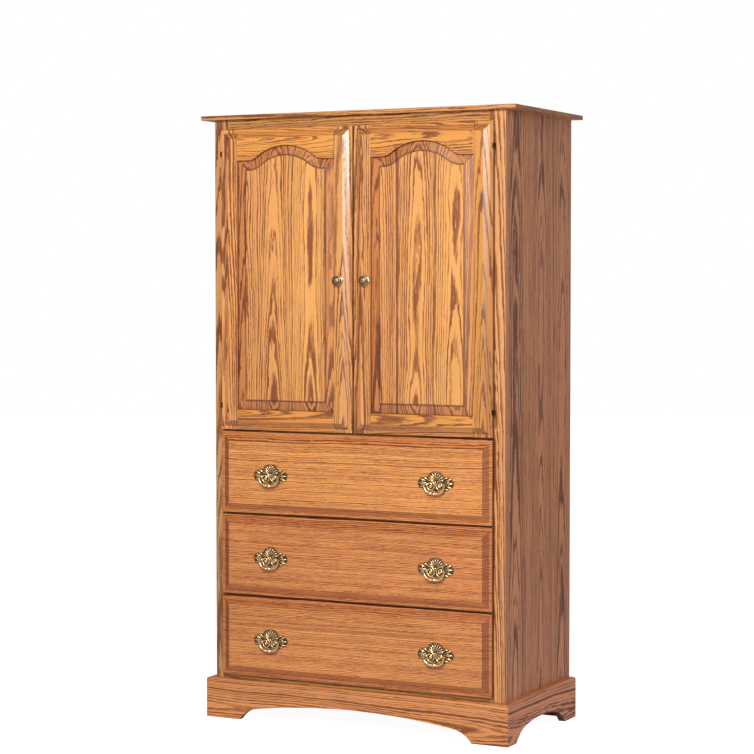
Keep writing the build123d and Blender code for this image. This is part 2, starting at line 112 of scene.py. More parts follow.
# What each finish changes in the oak's own settings, by the inputs of the shader group.
# "Ring Share" is a part of the ring width, and "Shine" is the strength of the lacquer's reflection.
FINISHES = {
    "front": {},
    "amber": {"Pale Wood": (0.650, 0.280, 0.058), "Dark Wood": (0.190, 0.046, 0.006)},
    "russet": {"Pale Wood": (0.670, 0.265, 0.106), "Dark Wood": (0.200, 0.052, 0.012)},
    "rose": {"Pale Wood": (0.625, 0.312, 0.130), "Dark Wood": (0.200, 0.056, 0.016)},
    "drawer": {"Pale Wood": (0.655, 0.272, 0.092), "Dark Wood": (0.19, 0.046, 0.010),
               "Figure": 1.85, "Ring Share": 0.62},
    "case": {"Pale Wood": (0.460, 0.178, 0.083), "Dark Wood": (0.105, 0.030, 0.015),
             "Figure": 1.30, "Shine": 0.25},
    "inside": {"Pale Wood": (0.60, 0.33, 0.14), "Dark Wood": (0.32, 0.13, 0.04)},
    "plywood": {"Pale Wood": (0.60, 0.37, 0.18), "Dark Wood": (0.38, 0.20, 0.08),
                "Figure": 0.7, "Roughness": 0.5},
    "pale": {"Figure": 0.45, "Roughness": 0.45, "End Grain Tone": 0.78, "Ring Width": 0.0032},
}
FIGURE = 1.5                    # contrast of the growth rings where the finish names none
LACQUER_SHINE = 0.5             # reflection of satin lacquer
DOOR_SHINE = 0.95               # the doors are polished brighter


class OakSettings(bpy.types.PropertyGroup):
    pale_wood: FloatVectorProperty(
        name="Pale wood", description="Stained colour of the hard late growth",
        default=(0.650, 0.298, 0.092), subtype="COLOR", min=0, max=1)
    dark_wood: FloatVectorProperty(
        name="Dark wood", description="Stained colour of the open-pored early growth",
        default=(0.190, 0.044, 0.008), subtype="COLOR", min=0, max=1)
    ring_width: FloatProperty(
        name="Ring width", description="Mean growth of the tree in one year",
        default=0.0054, min=0.001, max=0.02, subtype="DISTANCE", unit="LENGTH", precision=4)
    end_grain_tone: FloatProperty(
        name="End grain tone", description="How bright sawn end grain is beside the face",
        default=0.60, min=0, max=1, subtype="FACTOR")
    roughness: FloatProperty(
        name="Lacquer roughness", description="Roughness of the satin lacquer",
        default=0.28, min=0, max=1, subtype="FACTOR")


class InsideWoodSettings(bpy.types.PropertyGroup):
    pale_wood: FloatVectorProperty(
        name="Pale hardwood", description="Clear finished colour of the drawer boxes",
        default=(0.62, 0.42, 0.22), subtype="COLOR", min=0, max=1)
    dark_wood: FloatVectorProperty(
        name="Hardwood figure", description="Colour of the faint rings of that hardwood",
        default=(0.46, 0.27, 0.12), subtype="COLOR", min=0, max=1)


class BrassSettings(bpy.types.PropertyGroup):
    bright: FloatVectorProperty(
        name="Rubbed brass", description="Colour of the high spots, which are rubbed bright",
        default=(1.0, 0.73, 0.42), subtype="COLOR", min=0, max=1)
    dark: FloatVectorProperty(
        name="Aged brass", description="Colour of the aged lacquer in the hollows",
        default=(0.070, 0.032, 0.012), subtype="COLOR", min=0, max=1)


class StageSettings(bpy.types.PropertyGroup):
    floor_colour: FloatVectorProperty(
        name="Floor", description="Colour of the plain floor",
        default=(0.62, 0.62, 0.66), subtype="COLOR", min=0, max=1)
    key_power: FloatProperty(
        name="Key light", description="Power of the large soft light in front",
        default=172.0, min=0, subtype="POWER", unit="POWER")
    glint_power: FloatProperty(
        name="Rim glint", description="Power of the small light that the bevels of the doors reflect",
        default=52.0, min=0, subtype="POWER", unit="POWER")
    fill_power: FloatProperty(
        name="Side fill", description="Power of the weak soft light on the right side",
        default=66.0, min=0, subtype="POWER", unit="POWER")
    sky_strength: FloatProperty(
        name="Room light", description="Strength of the even light from the room",
        default=0.30, min=0)
    sheen_strength: FloatProperty(
        name="Room sheen", description="Strength of the room as the lacquer and brass reflect it",
        default=0.42, min=0)
    lens: FloatProperty(
        name="Lens", description="Focal length of the camera",
        default=104.92, min=10, max=400, unit="CAMERA")
    camera_place: FloatVectorProperty(
        name="Camera place", description="Where the camera stands",
        default=(3.0183, -5.9420, 1.3157), subtype="TRANSLATION", unit="LENGTH")
    camera_turn: FloatProperty(
        name="Camera turn", description="How far the camera is turned to the left",
        default=math.radians(27.259), subtype="ANGLE", unit="ROTATION")
    camera_dip: FloatProperty(
        name="Camera dip", description="How far the camera looks down",
        default=math.radians(2.374), subtype="ANGLE", unit="ROTATION")


class ArmoireSettings(bpy.types.PropertyGroup):
    oak: PointerProperty(type=OakSettings, name="Oak")
    inside_wood: PointerProperty(type=InsideWoodSettings, name="Inside wood")
    brass: PointerProperty(type=BrassSettings, name="Brass")
    stage: PointerProperty(type=StageSettings, name="Stage")


class Wiring:
    """Adds nodes to a node tree; an input may be a number, a colour, a vector or another node's socket."""

    def __init__(self, tree):
        self.tree = tree

    def put(self, socket, value):
        if isinstance(value, bpy.types.NodeSocket):
            self.tree.links.new(value, socket)
        elif value is not None:
            if socket.type == "RGBA" and len(value) == 3:
                value = (*value, 1.0)
            socket.default_value = value

    def add(self, kind, inputs=None, **settings):
        node = self.tree.nodes.new(kind)
        for name, value in settings.items():
            setattr(node, name, value)
        for name, value in (inputs or {}).items():
            self.put(node.inputs[name], value)
        return node

    def maths(self, operation, *values, clamp=False):
        node = self.add("ShaderNodeMath", operation=operation, use_clamp=clamp)
        for i, value in enumerate(values):
            self.put(node.inputs[i], value)
        return node.outputs[0]

    def vector(self, operation, *values):
        node = self.add("ShaderNodeVectorMath", operation=operation)
        for i, value in enumerate(values):
            self.put(node.inputs[i], value)
        return node.outputs["Value" if operation in {"DOT_PRODUCT", "LENGTH"} else "Vector"]

    def joined(self, x, y, z):
        return self.add("ShaderNodeCombineXYZ", {"X": x, "Y": y, "Z": z}).outputs[0]

    def parts(self, vector):
        return self.add("ShaderNodeSeparateXYZ", {"Vector": vector}).outputs

    def noise(self, vector, scale=1.0, detail=2.0, roughness=0.5, dimensions="3D", w=None):
        ins = {"Scale": scale, "Detail": detail, "Roughness": roughness}
        if dimensions != "1D":
            ins["Vector"] = vector
        if w is not None:
            ins["W"] = w
        return self.add("ShaderNodeTexNoise", ins, noise_dimensions=dimensions).outputs["Fac"]

    def chance(self, vector, w=None):
        """A random number and a random colour that stay the same for one value."""
        ins = {"Vector": vector}
        if w is not None:
            ins["W"] = w
        node = self.add("ShaderNodeTexWhiteNoise", ins, noise_dimensions="4D" if w is not None else "3D")
        return node.outputs["Value"], node.outputs["Color"]

    def between(self, value, low, high, to_low=0.0, to_high=1.0, kind="SMOOTHSTEP"):
        return self.add("ShaderNodeMapRange", {
            "Value": value, "From Min": low, "From Max": high, "To Min": to_low, "To Max": to_high,
        }, interpolation_type=kind).outputs["Result"]

    def blend(self, factor, a, b, kind="MIX"):
        node = self.add("ShaderNodeMix", data_type="RGBA", blend_type=kind)
        self.put(node.inputs[0], factor)
        self.put(node.inputs[6], a)
        self.put(node.inputs[7], b)
        return node.outputs[2]


def new_group(name, ins, outs):
    """An empty shader group with named inputs (name, kind, default) and outputs (name, kind)."""
    tree = bpy.data.node_groups.new(name, "ShaderNodeTree")
    for label, kind, default in ins:
        socket = tree.interface.new_socket(name=label, in_out="INPUT", socket_type="NodeSocket" + kind)
        if default is not None:
            socket.default_value = default
    for label, kind in outs:
        tree.interface.new_socket(name=label, in_out="OUTPUT", socket_type="NodeSocket" + kind)
    wires = Wiring(tree)
    return tree, wires, wires.add("NodeGroupInput").outputs, wires.add("NodeGroupOutput")


def oak_grain_group():
    """Growth rings cut by the board, with pores, streaks and a different tone for each glued plank.

    Place is in board directions: X across the face, Y into the board, Z along the grain."""
    found = bpy.data.node_groups.get("Oak Grain")
    if found:
        return found
    tree, w, given, out = new_group("Oak Grain", [
        ("Place", "Vector", (0, 0, 0)), ("Facing", "Vector", (0, 1, 0)), ("Log", "Float", 1.0),
        ("Plank Width", "Float", 9.0), ("Ring Width", "Float", 0.0046), ("Heart Depth", "Float", 0.05),
        ("Rim Place", "Float", 1.0), ("Rim Tone", "Color", (1, 1, 1, 1)), ("Edge Stain", "Float", 0.0),
        ("Line Width", "Float", 0.0), ("Flecks", "Float", 0.16),
        ("Heart Drift", "Float", 0.02), ("Wander", "Float", 1.0), ("Figure", "Float", 1.0),
        ("Tone", "Float", 1.0), ("End Grain Tone", "Float", 0.6), ("Roughness", "Float", 0.36),
        ("Pale Wood", "Color", (0.62, 0.3, 0.1, 1)), ("Dark Wood", "Color", (0.27, 0.09, 0.02, 1)),
    ], [("Color", "Color"), ("Roughness", "Float"), ("Height", "Float")])
    x, y, z = w.parts(given["Place"])

    def scaled(*values):
        return w.maths("MULTIPLY", *values)

    def centred_noise(place, detail, roughness=0.5):
        return w.maths("SUBTRACT", w.noise(place, detail=detail, roughness=roughness), 0.5)

    def shaded(colour, tone, amount=1.0):
        """The colour times a tone, by a given amount."""
        return w.blend(amount, colour, tone, "MULTIPLY")

    # The planks that are glued side by side, and a random heart, length and tone for each.
    plank = w.maths("FLOOR", w.maths("ADD", w.maths("DIVIDE", x, given["Plank Width"]), 0.5))
    across = w.maths("SUBTRACT", x, scaled(plank, given["Plank Width"]))
    plank_chance, some = w.chance(w.joined(plank, given["Log"], 3.7))
    chance_x, chance_y, chance_z = w.parts(some)
    heart_side = scaled(w.maths("SUBTRACT", chance_x, 0.5), 0.075)
    heart_depth = scaled(given["Heart Depth"], w.between(chance_y, 0, 1, 0.7, 1.25, "LINEAR"))
    along = w.maths("ADD", z, scaled(chance_z, 9.0))

    def drawn_out(fine, slow):
        """The place, with so many cells in a metre across the grain and so many along it."""
        return w.joined(scaled(x, fine), scaled(y, fine), scaled(along, slow))

    # The heart isn't straight: it bows slowly along the board, which closes rings into flames.
    slow = w.joined(w.maths("ADD", scaled(x, 1.6), scaled(plank, 5.3)),
                    scaled(given["Log"], 1.31), scaled(along, 1.5))
    bow_depth = scaled(centred_noise(slow, 1.5), scaled(given["Wander"], 0.026))
    bow_side = scaled(centred_noise(w.vector("ADD", slow, (17.2, 4.1, 8.8)), 1.0),
                      scaled(given["Wander"], 0.030))
    side = w.maths("ADD", w.maths("SUBTRACT", across, heart_side), bow_side)
    depth = w.maths("ADD", w.maths("ADD", y, heart_depth),
                    w.maths("ADD", bow_depth, scaled(z, given["Heart Drift"])))
    radius = w.maths("SQRT", w.maths("ADD", scaled(side, side), scaled(depth, depth)))
    # Small ripples of the rings, long along the grain, and finer feathering on top.
    ripple = centred_noise(drawn_out(46.0, 6.5), 3.0, 0.6)
    radius = w.maths("ADD", radius, scaled(ripple, 0.0085))
    feather = centred_noise(drawn_out(240.0, 34.0), 2.0, 0.6)
    radius = w.maths("ADD", radius, scaled(feather, 0.0026))
    years = w.maths("DIVIDE", radius, given["Ring Width"])
    years = w.maths("ADD", years, scaled(w.noise(
        None, scale=38.0, detail=1.0, dimensions="1D", w=w.maths("ADD", radius, given["Log"])), 3.0))
    ring = w.maths("FLOOR", years)
    season = w.maths("FRACT", years)
    _, ring_random = w.chance(w.joined(ring, given["Log"], plank))
    ring_a, ring_b, _ = w.parts(ring_random)
    # The open-pored early growth starts sharply and fades into the late growth.
    early_part = w.between(ring_a, 0, 1, 0.28, 0.66, "LINEAR")
    fade = w.between(season, scaled(early_part, 0.45), scaled(early_part, 1.35))
    early = scaled(w.between(season, 0.0, 0.10), w.maths("SUBTRACT", 1.0, fade))
    early = scaled(early, w.between(ring_b, 0, 1, 0.42, 1.15, "LINEAR"))
    strokes = w.noise(drawn_out(55.0, 9.0), detail=2.0)
    early = scaled(early, w.between(strokes, 0.30, 0.68, 0.45, 1.25, "LINEAR"))
    # Pores are short dark grooves along the grain, thick in the early growth.
    pore_field = w.noise(drawn_out(950.0, 75.0), detail=1.0)
    pores = scaled(w.between(pore_field, 0.52, 0.66), w.between(early, 0.0, 0.6, 0.18, 1.0, "LINEAR"))
    # Soft streaks, clouds and flecks of stain along the grain.
    streak = centred_noise(drawn_out(260.0, 7.0), 3.0, 0.6)
    cloud = centred_noise(drawn_out(14.0, 2.2), 2.0)
    fleck = w.between(w.noise(drawn_out(420.0, 38.0), detail=1.0), 0.60, 0.74)
    dark = w.maths("ADD", early, scaled(pores, 0.35), clamp=True)
    dark = w.maths("MULTIPLY", dark, given["Figure"], clamp=True)
    dark = w.maths("ADD", dark, scaled(streak, scaled(given["Figure"], 0.55)), clamp=True)
    dark = w.maths("ADD", dark, scaled(fleck, given["Flecks"]), clamp=True)
    colour = w.blend(dark, given["Pale Wood"], given["Dark Wood"])
    # Tone: each plank, slow clouds, streaks, and the darker, redder sawn ends.
    tone = scaled(given["Tone"], w.between(plank_chance, 0, 1, 0.90, 1.09, "LINEAR"))
    tone = scaled(tone, w.maths("ADD", 1.0, scaled(cloud, 0.30)))
    tone = scaled(tone, w.maths("ADD", 1.0, scaled(streak, 0.22)))
    colour = shaded(colour, w.joined(tone, tone, tone))
    end = w.maths("ABSOLUTE", w.parts(given["Facing"])[2])
    end = w.between(end, 0.04, 0.46, 1.0, given["End Grain Tone"], "LINEAR")
    colour = shaded(colour, w.joined(*(w.maths("POWER", end, power) for power in (0.80, 1.12, 1.30))))
    # Machined rims and bevels take more stain than the sanded face. The dark edges of the doors and drawers
    # are partly that stain and partly painted shade, standing in for the shade in the gaps beside them.
    flatness = w.maths("ABSOLUTE", w.parts(given["Facing"])[1])
    colour = shaded(colour, (0.84, 0.76, 0.70), w.between(flatness, 0.985, 0.93))
    # Painted shade of the gaps, mixed with the stain of the sawn edges.
    edge_stain_and_shade = scaled(w.between(flatness, 0.75, 0.30), given["Edge Stain"])
    colour = shaded(colour, (0.42, 0.25, 0.20), edge_stain_and_shade)
    # A thin dark line of painted shade lies just outside the raised face, standing in for the shade in the
    # crease there.
    rim_start, shade_line_end = given["Rim Place"], w.maths("ADD", given["Rim Place"], given["Line Width"])
    painted_shade_line = scaled(w.between(y, rim_start, w.maths("ADD", rim_start, 0.2 * MM)),
                  w.between(y, shade_line_end, w.maths("ADD", shade_line_end, 0.4 * MM), 1.0, 0.0))
    colour = shaded(colour, (0.46, 0.34, 0.28), painted_shade_line)
    rim = w.between(y, rim_start, w.maths("ADD", rim_start, 3.0 * MM))
    colour = shaded(colour, given["Rim Tone"], rim)
    colour = shaded(colour, w.blend(chance_x, (1.03, 0.97, 0.98), (0.98, 1.03, 0.96)))
    w.put(out.inputs["Color"], colour)
    rough = w.maths("ADD", given["Roughness"], scaled(pores, 0.20))
    rough = w.maths("ADD", rough, scaled(cloud, 0.10))
    w.put(out.inputs["Roughness"], w.maths("ADD", rough, scaled(dark, 0.06), clamp=True))
    height = w.maths("SUBTRACT", 1.0, scaled(pores, 0.75))
    height = w.maths("SUBTRACT", height, scaled(early, 0.25))
    w.put(out.inputs["Height"], w.maths("ADD", height, scaled(streak, 0.20)))
    return tree


def board_turn(grain, face):
    """The turn that brings a board's grain to Z and its face to Y."""
    along, into = AXES[grain], AXES[face]
    return Matrix((along.cross(into) * -1.0, into, along))


def new_material(name):
    material = bpy.data.materials.new(name)
    material.use_nodes = True
    material.node_tree.nodes.clear()
    w = Wiring(material.node_tree)
    shader = w.add("ShaderNodeBsdfPrincipled")
    w.put(w.add("ShaderNodeOutputMaterial").inputs["Surface"], shader.outputs["BSDF"])
    return material, w, shader


def rim_stain_and_shade(node, finish, half_thickness):
    """Stain of the rims, and painted shade in the lines and on the edges of a board, measured back from the
    raised face.
    """
    if finish == "drawer":
        return {"Rim Place": 0.4 * MM - half_thickness, "Rim Tone": (0.86, 0.77, 0.75),
                "Edge Stain": 1.0, "Flecks": 0.40, "Line Width": 0.5 * MM}
    if node.startswith("door_") and node.endswith("_panel"):
        return {"Rim Place": 0.4 * MM - half_thickness, "Rim Tone": (0.82, 0.70, 0.66),
                "Edge Stain": 1.0, "Line Width": 2.0 * MM, "End Grain Tone": 0.54}
    if node.startswith("door_"):
        return {"Rim Place": 6.0 * MM - half_thickness, "Rim Tone": (0.92, 0.86, 0.86), "Edge Stain": 1.0}
    return {}


def wood_material(row, settings):
    node, grain, face, finish, plank, shift, slide, depth, drift, wander, log, tone = row
    low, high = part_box(node)
    turn = board_turn(grain, face)
    place = Vector((shift, 0.0, slide)) - turn @ ((low + high) / 2)
    angles = turn.to_euler("XYZ")
    oak = settings.oak
    colours = settings.inside_wood if finish == "pale" else oak
    values = {
        "Log": log, "Plank Width": plank, "Ring Width": oak.ring_width, "Heart Depth": depth,
        "Heart Drift": drift, "Wander": wander, "Figure": FIGURE, "Tone": tone,
        "End Grain Tone": oak.end_grain_tone, "Roughness": oak.roughness,
        "Pale Wood": tuple(colours.pale_wood), "Dark Wood": tuple(colours.dark_wood),
    }
    values.update(FINISHES[finish])
    values.update(rim_stain_and_shade(node, finish, (high.y - low.y) / 2))
    values["Ring Width"] *= values.pop("Ring Share", 1.0)
    shine = values.pop("Shine", DOOR_SHINE if node.startswith("door_") else LACQUER_SHINE)
    material, w, shader = new_material("Oak_" + node if finish != "pale" else "Hardwood_" + node)
    coordinates = w.add("ShaderNodeTexCoord")
    centred = w.add("ShaderNodeMapping", {
        "Vector": coordinates.outputs["Object"], "Location": place, "Rotation": angles}, vector_type="POINT")
    facing = w.add("ShaderNodeMapping", {
        "Vector": coordinates.outputs["Normal"], "Rotation": angles}, vector_type="VECTOR")
    values.update({"Place": centred.outputs[0], "Facing": facing.outputs[0]})
    grain_node = w.add("ShaderNodeGroup", values, node_tree=oak_grain_group())
    bump = w.add("ShaderNodeBump", {
        "Strength": 0.35, "Distance": 0.4 * MM, "Height": grain_node.outputs["Height"]})
    w.put(shader.inputs["Base Color"], grain_node.outputs["Color"])
    w.put(shader.inputs["Roughness"], grain_node.outputs["Roughness"])
    w.put(shader.inputs["Normal"], bump.outputs["Normal"])
    shader.inputs["Specular IOR Level"].default_value = shine
    return material


def cover(node, material):
    """Puts one material on a CAD node in place of the plain one."""
    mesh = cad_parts[node].data
    mesh.materials.clear()
    mesh.materials.append(material)


def brass_material():
    found = bpy.data.materials.get("Antique_brass")
    if found:
        return found
    brass = bpy.context.scene.armoire.brass
    material, w, shader = new_material("Antique_brass")
    place = w.add("ShaderNodeTexCoord").outputs["Object"]
    patches = w.noise(place, scale=420.0, detail=4.0, roughness=0.6)
    fine = w.noise(place, scale=1900.0, detail=2.0)
    # The attribute says how much hands and polish reach each place of a cast piece.
    rubbed = w.add("ShaderNodeAttribute", attribute_type="GEOMETRY", attribute_name="rubbed").outputs["Fac"]
    worn = w.maths("ADD", w.maths("MULTIPLY", rubbed, 0.85), w.maths(
        "MULTIPLY", w.maths("SUBTRACT", patches, 0.5), 0.9), clamp=True)
    w.put(shader.inputs["Base Color"], w.blend(worn, tuple(brass.dark), tuple(brass.bright)))
    rough = w.maths("ADD", w.between(fine, 0.3, 0.7, 0.0, 0.14), w.between(worn, 0.0, 0.8, 0.46, 0.20))
    w.put(shader.inputs["Roughness"], rough)
    shader.inputs["Metallic"].default_value = 1.0
    bump = w.add("ShaderNodeBump", {"Strength": 0.25, "Distance": 0.0002, "Height": patches})
    w.put(shader.inputs["Normal"], bump.outputs["Normal"])
    return material


def hinge_material():
    """The hinges are left in their dark, aged finish, because nothing rubs them."""
    material, w, shader = new_material("Aged_brass")
    place = w.add("ShaderNodeTexCoord").outputs["Object"]
    patches = w.noise(place, scale=500.0, detail=3.0)
    w.put(shader.inputs["Base Color"], w.blend(patches, (0.034, 0.012, 0.006), (0.075, 0.030, 0.014)))
    w.put(shader.inputs["Roughness"], w.between(patches, 0.3, 0.7, 0.46, 0.62))
    shader.inputs["Metallic"].default_value = 1.0
    return material


def zinc_material():
    material, w, shader = new_material("Zinc_plated_steel")
    place = w.add("ShaderNodeTexCoord").outputs["Object"]
    spangle = w.noise(place, scale=700.0, detail=3.0)
    w.put(shader.inputs["Base Color"], w.blend(spangle, (0.42, 0.43, 0.45), (0.66, 0.67, 0.68)))
    w.put(shader.inputs["Roughness"], w.between(spangle, 0.3, 0.7, 0.28, 0.45))
    shader.inputs["Metallic"].default_value = 1.0
    return material


def catch_material():
    material, w, shader = new_material("Brown_catch_plastic")
    place = w.add("ShaderNodeTexCoord").outputs["Object"]
    grain = w.noise(place, scale=1600.0, detail=3.0)
    w.put(shader.inputs["Base Color"], w.blend(grain, (0.050, 0.026, 0.014), (0.085, 0.046, 0.026)))
    w.put(shader.inputs["Roughness"], w.between(grain, 0.3, 0.7, 0.42, 0.58))
    bump = w.add("ShaderNodeBump", {"Strength": 0.3, "Distance": 0.0001, "Height": grain})
    w.put(shader.inputs["Normal"], bump.outputs["Normal"])
    return material


class ARMOIRE_OT_finish_wood(bpy.types.Operator):
    """Gives every wooden board its own growth rings, running the way that board was cut"""
    bl_idname = "armoire.finish_wood"
    bl_label = "Finish the wood"

    def execute(self, context):
        for row in BOARDS:
            cover(row[0], wood_material(row, context.scene.armoire))
        return {"FINISHED"}


class ARMOIRE_OT_finish_fittings(bpy.types.Operator):
    """Finishes the hinges, strikes, shelf pins and catches"""
    bl_idname = "armoire.finish_fittings"
    bl_label = "Finish the fittings"

    def execute(self, context):
        brass, zinc, catch, aged = brass_material(), zinc_material(), catch_material(), hinge_material()
        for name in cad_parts:
            if name.endswith(("hinge_leaves", "hinge_frame_leaves")):
                cover(name, aged)
            elif name.endswith(("_knob", "_pull_plates", "_bail_left", "_bail_right")):
                cover(name, brass)
            elif name.endswith("_strike") or name == "shelf_pins":
                cover(name, zinc)
            elif name == "door_catches":
                cover(name, catch)
        return {"FINISHED"}


# ---------------------------------------------------------------- cast brass fittings

PLATE_RISE = 38 * MM            # top of a back plate above its pivots
PLATE_REACH = 59 * MM           # end of a back plate beside its middle
PIVOT_REACH = 13.5 * MM         # pivots in front of the drawer's face
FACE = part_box("drawer_1_front")[0].y
PULLS = {number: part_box(f"drawer_{number}_pull_plates")[1].z - PLATE_RISE for number in (1, 2, 3)}
PULL_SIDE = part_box("drawer_1_pull_plates")[1].x - PLATE_REACH


def deselect():
    bpy.ops.object.select_all(action="DESELECT")


def joined_piece(parts, name):
    """Joins finished parts into one named mesh at the origin."""
    deselect()
    for part in parts:
        part.select_set(True)
    bpy.context.view_layer.objects.active = parts[0]
    bpy.ops.object.join()
    piece = bpy.context.object
    bpy.ops.object.transform_apply(location=True, rotation=True, scale=True)
    piece.name = piece.data.name = name
    return piece


def cast_ribs(ribs, place, sides=2, steps=3):
    """Round tapered ribs as one mesh. A rib is a list of (across, out, up, radius) in millimetres."""
    curve = bpy.data.curves.new("Cast_ribs", "CURVE")
    curve.dimensions, curve.bevel_depth, curve.bevel_resolution = "3D", MM, sides
    curve.use_fill_caps, curve.resolution_u = True, steps
    for rib in ribs:
        spline = curve.splines.new("NURBS")
        spline.points.add(len(rib) - 1)
        for point, (across, out, up, radius) in zip(spline.points, rib):
            point.co = (across * MM, -out * MM, up * MM, 1.0)
            point.radius = radius
        spline.order_u, spline.use_endpoint_u = min(4, len(rib)), True
    ribs_object = bpy.data.objects.new("Cast_ribs", curve)
    bpy.context.scene.collection.objects.link(ribs_object)
    ribs_object.location = place
    deselect()
    ribs_object.select_set(True)
    bpy.context.view_layer.objects.active = ribs_object
    bpy.ops.object.convert(target="MESH")
    bpy.ops.object.shade_smooth()
    return bpy.context.object


def cast_bead(place, across, out, up, radius, flat=1.0):
    """One cast bead, which may be flattened towards the plate."""
    deselect()
    bpy.ops.mesh.primitive_uv_sphere_add(
        segments=14, ring_count=8, radius=radius * MM,
        location=Vector(place) + Vector((across, -out, up)) * MM,
        rotation=(math.pi / 2, 0, 0), scale=(1, 1, flat))
    bpy.ops.object.shade_smooth()
    return bpy.context.object


def flat_plate(outline, place, thick, rim):
    """A flat plate with a rounded rim, from its outline in millimetres."""
    curve = bpy.data.curves.new("Plate", "CURVE")
    curve.dimensions, curve.fill_mode = "2D", "BOTH"
    curve.extrude, curve.bevel_depth, curve.bevel_resolution = (thick / 2 - rim) * MM, rim * MM, 2
    curve.offset, curve.resolution_u = -rim * MM, 4
    spline = curve.splines.new("NURBS")
    spline.points.add(len(outline) - 1)
    for point, (across, up) in zip(spline.points, outline):
        point.co = (across * MM, up * MM, 0.0, 1.0)
    spline.order_u, spline.use_cyclic_u = 3, True
    plate = bpy.data.objects.new("Plate", curve)
    bpy.context.scene.collection.objects.link(plate)
    plate.rotation_euler = (math.pi / 2, 0, 0)
    plate.location = Vector(place) + Vector((0, -thick / 2 * MM, 0))
    deselect()
    plate.select_set(True)
    bpy.context.view_layer.objects.active = plate
    bpy.ops.object.convert(target="MESH")
    bpy.ops.object.shade_smooth_by_angle(angle=math.radians(40))
    return bpy.context.object


def both_sides(rib):
    """The rib and its mirror image."""
    return [rib, [(-across, out, up, radius) for across, out, up, radius in rib]]


def scroll_rib():
    """The large scroll right of the middle, wound inwards from the crest."""
    middle_across, middle_up, turns, count = 16.0, -4.5, 1.75, 19
    rib = []
    for i in range(count):
        share = i / (count - 1)
        angle = math.radians(62) + share * turns * 2 * math.pi
        reach = 14.2 * (1 - share) ** 0.85 + 2.2
        swell = 1.1 + 1.5 * math.sin(math.pi * (0.12 + 0.80 * share))
        rib.append((middle_across + reach * math.cos(angle) * 0.95, 3.4 + 2.4 * share,
                    middle_up + reach * math.sin(angle) * 1.05, swell))
    return rib


def leaf_ribs():
    """Three lobes and two curls that make the leafy tip on the right."""
    return [
        [(30, 2.6, 4, 1.6), (38, 4.2, 3, 3.2), (47, 4.0, 4, 3.4), (54, 2.6, 4, 1.9), (57.5, 2.0, 3, 0.5)],
        [(32, 2.6, 8, 1.4), (38, 4.4, 12, 3.0), (45, 4.2, 15, 3.2), (50, 2.8, 18, 1.8),
         (52.5, 2.0, 17, 0.5)],
        [(31, 2.6, -2, 1.4), (38, 4.2, -5, 2.8), (45, 4.0, -8, 2.8), (51, 2.6, -9, 1.5), (54, 2.0, -8, 0.5)],
        [(24, 2.8, 12, 1.2), (28, 4.6, 17, 2.4), (34, 4.8, 20, 2.6), (39, 3.6, 20, 1.8), (41, 2.4, 17, 0.8)],
        [(28, 2.8, -8, 1.2), (31, 4.2, -12, 2.2), (36, 4.2, -15, 2.2), (40, 3.2, -14, 1.4),
         (41, 2.4, -11, 0.7)],
    ]


def make_pull_plate(place):
    """One cast back plate: a beaded fan over two scrolls, with leafy tips and two posts."""
    outline = [
        (0, 37.6), (13, 36), (22, 30), (25, 21), (33, 21.5), (46, 19.5), (56, 11), (58.6, 2),
        (54, -8), (44, -12), (35, -17.5), (20, -22), (10, -22.8), (0, -21.8)]
    outline += [(-across, up) for across, up in reversed(outline[1:-1])]
    parts = [flat_plate(outline, place, 2.2, 0.7)]
    ribs = []
    fan_up, fan_squash = 9, 0.93
    flute = ((6, 3.0, 0.9), (13, 4.6, 1.7), (20, 4.6, 2.3), (25, 3.2, 2.0), (27, 2.2, 0.6))
    for i in range(9):
        angle = math.radians(90 + (i - 4) * 19.5)
        ribs.append([(reach * math.cos(angle), out, fan_up + reach * fan_squash * math.sin(angle), radius)
                     for reach, out, radius in flute])
    ribs += both_sides(scroll_rib())
    for rib in leaf_ribs():
        ribs += both_sides(rib)
    ribs += both_sides([(1, 3.2, -19, 1.0), (7, 4.4, -20.6, 1.9), (15, 4.2, -20.4, 2.1),
                        (24, 3.4, -18.5, 1.6), (31, 2.4, -15, 0.7)])
    ribs += both_sides([(1.5, 3.0, 2, 1.2), (3.0, 4.4, -3, 1.8), (3.2, 4.2, -8, 1.6), (2.0, 3.0, -12, 0.9)])
    post = ((0.5, 4.9), (3.0, 4.8), (6.0, 3.2), (9.0, 3.0), (11.0, 3.9),
            (13.5, 4.9), (15.5, 4.4), (16.8, 2.6), (17.0, 0.6))
    for side in (-1, 1):
        ribs.append([(24 * side, out, 0, radius) for out, radius in post])
    parts.append(cast_ribs(ribs, place))
    for i in range(10):
        angle = math.radians(90 + (i - 4.5) * 19.0)
        parts.append(cast_bead(place, 27.0 * math.cos(angle) * 0.86, 3.0,
                               fan_up + 25.6 * math.sin(angle), 2.1, 0.8))
    for side in (-1, 1):
        parts.append(cast_bead(place, 16.0 * side, 5.4, -4.5, 3.2, 0.9))
        parts.append(cast_bead(place, 41.5 * side, 4.6, 8.0, 2.4, 0.9))
        parts.append(cast_bead(place, 43.5 * side, 4.2, -1.5, 2.0, 0.9))
    parts.append(cast_bead(place, 0, 4.6, 6.5, 3.6, 0.8))
    plate = joined_piece(parts, "Pull_plate")
    mark_rubbed(plate, place, rubbed_plate)
    return plate


